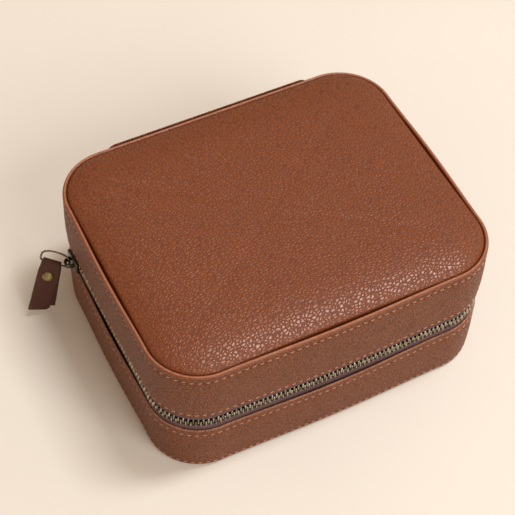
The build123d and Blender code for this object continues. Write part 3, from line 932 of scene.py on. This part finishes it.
def tab_strip():
    """One strip of leather folded over the link: both layers, with painted edges and a clipped corner."""
    path = [("front", 1 - k / 16) for k in range(17)]
    path += [("fold", k / 14) for k in range(1, 14)]
    path += [("back", k / 16) for k in range(17)]
    loop = rounded_loop(TAB_WIDTH / 2, TAB_LAYER / 2, 0.34 * MM, turn=4, run=9)
    sections = []
    for where, t in path:
        ring = []
        for a, b in loop:
            if where == "fold":
                radius = TAB_FOLD + b * 0.5
                ring.append(tab_place(a, math.cos(math.pi * t) * radius, -math.sin(math.pi * t) * radius))
                continue
            settle = min(1.0, t * 4.2)
            settle = settle * settle * (3 - 2 * settle)
            out = TAB_FOLD + (TAB_LAYER_MIDDLE - TAB_FOLD) * settle + b * (0.5 + 0.5 * settle)
            if where == "front":
                ring.append(tab_place(a, out, (TAB_REACH - max(0.0, -a - 3.6 * MM) * 1.1) * t))
            else:
                ring.append(tab_place(a - 2.9 * MM * t ** 1.4, -out, (TAB_REACH - 1.6 * MM) * t))
        sections.append(ring)
    strip = shaped("pull_strip", lofted(sections), TAB_LEATHER, "pull", "tab_leather", "pull_tab")
    strip.data.materials.append(TAB_EDGE)
    side_points = {k for k, (a, b) in enumerate(loop) if abs(a) > TAB_WIDTH / 2 - 0.3 * MM}
    for polygon in strip.data.polygons:
        ring_points = {v % len(loop) for v in polygon.vertices}
        if ring_points <= side_points or len(polygon.vertices) > 4:
            polygon.material_index = 1


def tab_rivet():
    """A domed rivet through both layers, with a rolled rim and a washer on the back."""
    depth = (centred_box("tab_rivet")[2] - TAB_EYE).dot(TAB_DOWN)
    face = 1.24 * MM
    profile = [
        *offsets(0, -face, (0, -0.55), (1.5, -0.5), (2.45, -0.3), (2.75, 0), (2.6, 0.12), (1.2, 0.2)),
        *offsets(0, face, (1.2, -0.1), (2.55, -0.02), (2.8, 0.12), (2.78, 0.3), (2.5, 0.5), (2.0, 0.72),
                 (1.3, 0.9), (0.6, 1.0), (0, 1.02)),
    ]
    sections = []
    for radius, out in profile:
        radius = max(radius, 0.01 * MM)
        sections.append([tab_place(radius * a, out, depth + radius * b) for a, b in circle(40)])
    shaped("pull_rivet", lofted(sections), RIVET_METAL, "pull", "rivet_metal", "tab_rivet")


def link_ring():
    """The wire link: a straight lower bar that carries the tab, and a round arch over it."""
    start = Vector(JOINTS["link_swing"]["pos_m"])
    wire, corner, arch, fullness = 0.47 * MM, 1.5 * MM, 4.1 * MM, 0.84
    drop = (TAB_EYE - start).dot(TAB_DOWN)
    cad_wire = frame["nodes"]["puller_link"].data.vertices
    width = max((v.co - start).dot(TAB_ACROSS) for v in cad_wire) - 0.5 * MM
    path = []
    for middle, turn in ((corner, 180), (width - corner, 90)):
        for k in range(9):
            angle = math.radians(turn - 90 * k / 8)
            path.append((middle + corner * math.cos(angle), drop - corner + corner * math.sin(angle)))
    for k in range(41):
        angle = math.pi * k / 40
        across = width / 2 * (1 + signed_power(math.cos(angle), fullness))
        path.append((across, -arch * math.sin(angle) ** fullness))
    points = [start + TAB_ACROSS * a + TAB_DOWN * b for a, b in path]
    sides = 12
    verts = []
    for i, point in enumerate(points):
        along = (points[(i + 1) % len(points)] - points[i - 1]).normalized()
        up = along.cross(TAB_FACING).normalized()
        verts += [point + (TAB_FACING * a + up * b) * wire for a, b in circle(sides)]
    faces = ring_quads(len(points), sides, closed=True)
    shaped("link_wire", (verts, faces), LINK_METAL, "link", "slider_metal", "puller_link")


# ---------- hinge

HINGE_SEAM_EDGE = 2.2 * MM


def bend(piece):
    """Bakes the piece's placement into its mesh."""
    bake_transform(piece)


def hinge_patch():
    """The leather that joins the halves at the back: thin at its edges, with a groove for its stitches."""
    low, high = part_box("hinge_leather")
    columns, rows, radius = 84, 60, 5 * MM

    def closer_at_ends(t):
        return t - 0.11 * math.sin(4 * math.pi * t) / 2 - 0.12 * math.sin(2 * math.pi * t) / 2

    def thickness(x, z):
        edge = min(high.x - abs(x), z - low.z, high.z - z)
        rise = min(1.0, edge / (1.3 * MM))
        groove = math.exp(-((edge - HINGE_SEAM_EDGE) / (0.45 * MM)) ** 2)
        return (0.8 + 0.6 * rise * (2 - rise)) * MM - 0.2 * MM * groove

    def corner_round(x, z):
        """Rounds the patch's four corners in its own plane."""
        cx, cz = high.x - radius, clip(z, low.z + radius, high.z - radius)
        if abs(x) <= cx or cz == z:
            return x, z
        dx, dz = abs(x) - cx, z - cz
        share = max(dx, abs(dz)) / math.hypot(dx, dz)
        return math.copysign(cx + dx * share, x), cz + dz * share

    def point(i, j, front):
        x = low.x + (high.x - low.x) * closer_at_ends(i / columns)
        z = low.z + (high.z - low.z) * closer_at_ends(j / rows)
        y = low.y + (thickness(x, z) if front else 0.02 * MM)
        x, z = corner_round(x, z)
        return Vector((x, y, z))

    patch = new_piece("hinge_cover", *slab(columns, rows, point), WALL_LEATHER)
    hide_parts("hinge_leather")
    bend(patch)


def hinge_stitches():
    """A row of stitches round the patch's border."""
    low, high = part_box("hinge_leather")
    half_x, half_z = high.x - HINGE_SEAM_EDGE, (high.z - low.z) / 2 - HINGE_SEAM_EDGE
    middle = (low.z + high.z) / 2
    loop = rounded_loop(half_x, half_z, 4.2 * MM, turn=14, run=60)
    points = [Vector((a, low.y + 1.25 * MM, middle + b)) for a, b in loop]
    legs = list(zip(points, points[1:] + points[:1]))
    reached = [0.0]
    for p, q in legs:
        reached.append(reached[-1] + (q - p).length)

    def at(distance):
        distance %= reached[-1]
        for k, (p, q) in enumerate(legs):
            if distance <= reached[k + 1]:
                return p.lerp(q, (distance - reached[k]) / max(1e-9, reached[k + 1] - reached[k]))
        return points[0]

    total = int(reached[-1] / STITCH_PITCH)
    parts = []
    for index in range(total):
        start = index * reached[-1] / total
        parts.append(stitch(lambda t, sink: at(start + STITCH * t) + Vector((0, (0.12 - 0.5 * sink) * MM, 0))))
    stitches = new_piece("hinge_seam", *joined(parts), THREAD)
    bend(stitches)


def hinge_inside():
    """The lining strip behind the zip at the back, gently creased along its middle."""
    low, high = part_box("hinge_strip")
    columns, rows = 60, 36

    def point(i, j, front):
        x = low.x + (high.x - low.x) * i / columns
        z = low.z + (high.z - low.z) * j / rows
        crease = 0.12 * MM * math.sin(i * 0.9) * math.sin(math.pi * j / rows)
        return Vector((x, high.y - 0.02 * MM if front else low.y + 0.08 * MM + crease, z))

    strip = new_piece("hinge_lining", *slab(columns, rows, point), LINING)
    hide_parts("hinge_strip")
    bend(strip)


# ---------- inside

def wall_lining(name, body, node):
    """Suede on the inner wall, rolled over the board's edge at the zip."""
    low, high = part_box(node)
    edge, other, into = (high.z, low.z, -1) if body == "base" else (low.z, high.z, 1)
    profile = [
        (LINING_INSET, other),
        *offsets(LINING_INSET, edge, (0, 1.2 * into), (-0.15, 0.4 * into), (-0.5, 0.05 * into)),
        (BOARD_BACK + 0.02 * MM, edge),
        (BOARD_BACK + 0.02 * MM, other),
    ]
    finish_piece(band(name, profile, LINING, bow=0.0), body, "lining", node)


def soft_panel(name, body, node, dome):
    """A lined pad that fills the case's inside, with soft rounded edges."""
    low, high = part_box(node)
    face, back = (high.z, low.z) if dome > 0 else (low.z, high.z)
    steps = ((0, 0), (0.03, 0.4), (0.35, 0.78), (1.0, 0.94), (2.0, 1))
    rings = [(HALF_W - high.x + across * MM, back + share * (face - back)) for across, share in steps]
    piece = panel(name, rings, face, LINING, crown=dome, inner_rings=12)
    finish_piece(piece, body, "lining", node)


def divider(name):
    """A suede-wrapped board standing on the floor, with a rounded top edge and a slight wave along it."""
    low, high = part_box(name)
    middle, size = (low + high) / 2, high - low
    along_x = size.x > size.y
    half = (size.y if along_x else size.x) / 2
    section = [(-half, 0.0), (-half, size.z - half)]
    for k in range(1, 9):
        angle = math.pi - math.pi * k / 9
        section.append((half * math.cos(angle), size.z - half + half * math.sin(angle)))
    section += [(half, size.z - half), (half, 0.0)]
    count = 40
    sections = []
    for i in range(count + 1):
        t = i / count
        ring = []
        for a, z in section:
            aside = a * 0.98 + 0.12 * MM * math.sin(9 * t * math.pi) * (z / size.z)
            if along_x:
                ring.append(Vector((low.x + size.x * t, middle.y + aside, low.z + z)))
            else:
                ring.append(Vector((middle.x + aside, low.y + size.y * t, low.z + z)))
        sections.append(ring)
    shaped(name + "_cover", lofted(sections), LINING, "base", "lining", name)


def ring_rolls():
    """Six stuffed rolls side by side, each a soft bolster with tucked ends."""
    low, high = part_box("ring_rolls")
    total, gap, count, squareness = 6, 0.4 * MM, 46, 0.72
    pitch = (high.y - low.y + gap) / total
    half = (pitch - gap) / 2
    height, length = high.z - low.z, high.x - low.x
    rng = random.Random(7)
    parts = []
    for index in range(total):
        centre_y = low.y + half + index * pitch
        puff = 1 - 0.02 * rng.random()
        phase = rng.random() * 6
        sections = []
        for i in range(count + 1):
            t = i / count
            size = 1 - 0.30 * max(0.0, 1 - min(t, 1 - t) * length / (3.2 * MM)) ** 2
            ring = []
            for k in range(24):
                angle = 2 * math.pi * k / 24
                y = half * puff * size * signed_power(math.cos(angle), squareness)
                z = height / 2 * (1 + size * signed_power(math.sin(angle), squareness))
                ripple = 0.10 * MM * math.sin(phase + 14 * t + 2 * angle)
                point = Vector((low.x + length * t, centre_y + y * (1 - ripple / half),
                                low.z + z * (1 - abs(ripple) / height)))
                ring.append(kept_inside(point, LINING_INSET + 0.2 * MM))
            sections.append(ring)
        parts.append(lofted(sections))
    rolls = shaped("ring_bolsters", joined(parts), LINING, "base", "lining", "ring_rolls")


def mirror_frame():
    """A padded suede frame that overlaps the mirror's edge."""
    low, high, middle, half = centred_box("lid_mirror_frame")
    glass_low, _, _, glass_half = centred_box("lid_mirror")
    border = half.x - glass_half.x
    inner, radius = border + 1.0 * MM, 14 * MM
    profile = [
        (0.0, high.z),
        *offsets(0, low.z, (0, 0.9), (0.25, 0.4), (0.9, 0.08), (1.6, 0)),
        *offsets(inner, low.z, (-1.6, 0), (-0.8, 0.1), (-0.15, 0.35)),
        (inner, glass_low.z - 0.03 * MM),
        (border + 0.02 * MM, glass_low.z - 0.03 * MM),
        (border + 0.02 * MM, high.z),
    ]
    verts = []
    for inset, z in profile:
        loop = rounded_loop(half.x - inset, half.y - inset, radius - inset, turn=12, run=12)
        verts.extend(Vector((middle.x + a, middle.y + b, z)) for a, b in loop)
    faces = ring_quads(len(profile), len(loop), closed=True)
    shaped("mirror_surround", (verts, faces), LINING, "lid", "lining", "lid_mirror_frame")


def carried_over():
    """CAD nodes whose shape is right keep it and take a detailed material."""
    finishes = {
        "base_floor_board": BOARD, "base_wall_board": BOARD, "lid_wall_board": BOARD, "lid_top_board": BOARD,
        "base_wall_foam": FOAM, "lid_wall_foam": FOAM, "lid_mirror": MIRROR,
    }
    for name, material in finishes.items():
        node = frame["nodes"][name]
        node.data.materials.clear()
        node.data.materials.append(material)


# ---------- setting

def camera():
    """A long lens that looks down on the case from the front left."""
    azimuth, elevation, roll = (math.radians(angle) for angle in (-28.719, 52.83, 2.599))
    distance, shift_right, shift_up = 0.697148, -0.00622, 0.005384
    case_middle = Vector((0, 0, 0.030))
    back = Vector((math.sin(azimuth) * math.cos(elevation), -math.cos(azimuth) * math.cos(elevation),
                   math.sin(elevation)))
    right = Vector((math.cos(azimuth), math.sin(azimuth), 0))
    up = back.cross(right)
    rolled_right = right * math.cos(roll) + up * math.sin(roll)
    rolled_up = up * math.cos(roll) - right * math.sin(roll)
    at = case_middle + rolled_right * shift_right + rolled_up * shift_up + back * distance
    data = bpy.data.cameras.new("view")
    data.lens, data.sensor_width, data.clip_end = 103.98, 36, 20
    eye = in_scene("view", data)
    turn = Matrix((rolled_right, rolled_up, back)).transposed().to_4x4()
    eye.matrix_world = Matrix.Translation(at) @ turn
    bpy.context.scene.camera = eye


def area_light(name, at, size, power, color):
    """A rectangular lamp that faces the case."""
    data = bpy.data.lights.new(name, "AREA")
    data.shape = "RECTANGLE"
    data.size, data.size_y = size
    data.energy = power
    data.color = color
    lamp = in_scene(name, data)
    direction = Vector((0, 0, 0.04)) - Vector(at)
    lamp.rotation_euler = direction.to_track_quat("-Z", "Y").to_euler()
    lamp.location = at


def lights():
    """A bright softbox high on the right, a broad one in front, a weak one on the right behind, and a warm
    surround."""
    area_light("key", (0.66, -0.11, 1.96), (0.30, 0.75), 21.0, (1.0, 0.98, 0.96))
    area_light("front", (0.42, -1.6, 1.28), (1.2, 0.95), 21.5, (1.0, 0.97, 0.93))
    area_light("right", (1.3, 0.5, 0.9), (0.8, 0.6), 1.2, (1.0, 0.97, 0.94))
    world = bpy.data.worlds.new("surround")
    world.use_nodes = True
    shade = world.node_tree.nodes["Background"]
    shade.inputs["Color"].default_value = (1.0, 0.74, 0.53, 1)
    shade.inputs["Strength"].default_value = 0.44
    bpy.context.scene.world = world


def floor():
    """A wide pale table top with its far edges out of sight."""
    count, half = 40, 6.0
    marks = [-half + 2 * half * i / count for i in range(count + 1)]
    verts = [(x, y, 0.0) for x in marks for y in marks]
    new_piece("floor", verts, grid_faces(count, count), floor_material())


# ---------- the whole case

camera()
lights()
floor()
carried_over()
base_bottom()
base_wall()
lid_wall()
lid_rim()
lid_pad()
seams()
tape("base_tape", "base", "base_zip_tape")
tape("lid_tape", "lid", "lid_zip_tape")
zip_rows()
zip_stop()
slider_body()
slider_bridge()
link_ring()
tab_strip()
tab_rivet()
hinge_patch()
hinge_stitches()
hinge_inside()
wall_lining("base_lining", "base", "base_wall_lining")
wall_lining("lid_lining", "lid", "lid_wall_lining")
soft_panel("floor_pad", "base", "base_floor_pad", 0.12 * MM)
soft_panel("ceiling_pad", "lid", "lid_ceiling_lining", -0.12 * MM)
for divider_name in ("long_divider", "left_divider", "right_divider"):
    divider(divider_name)
ring_rolls()
mirror_frame()

bpy.context.scene.view_settings.view_transform = "Standard"
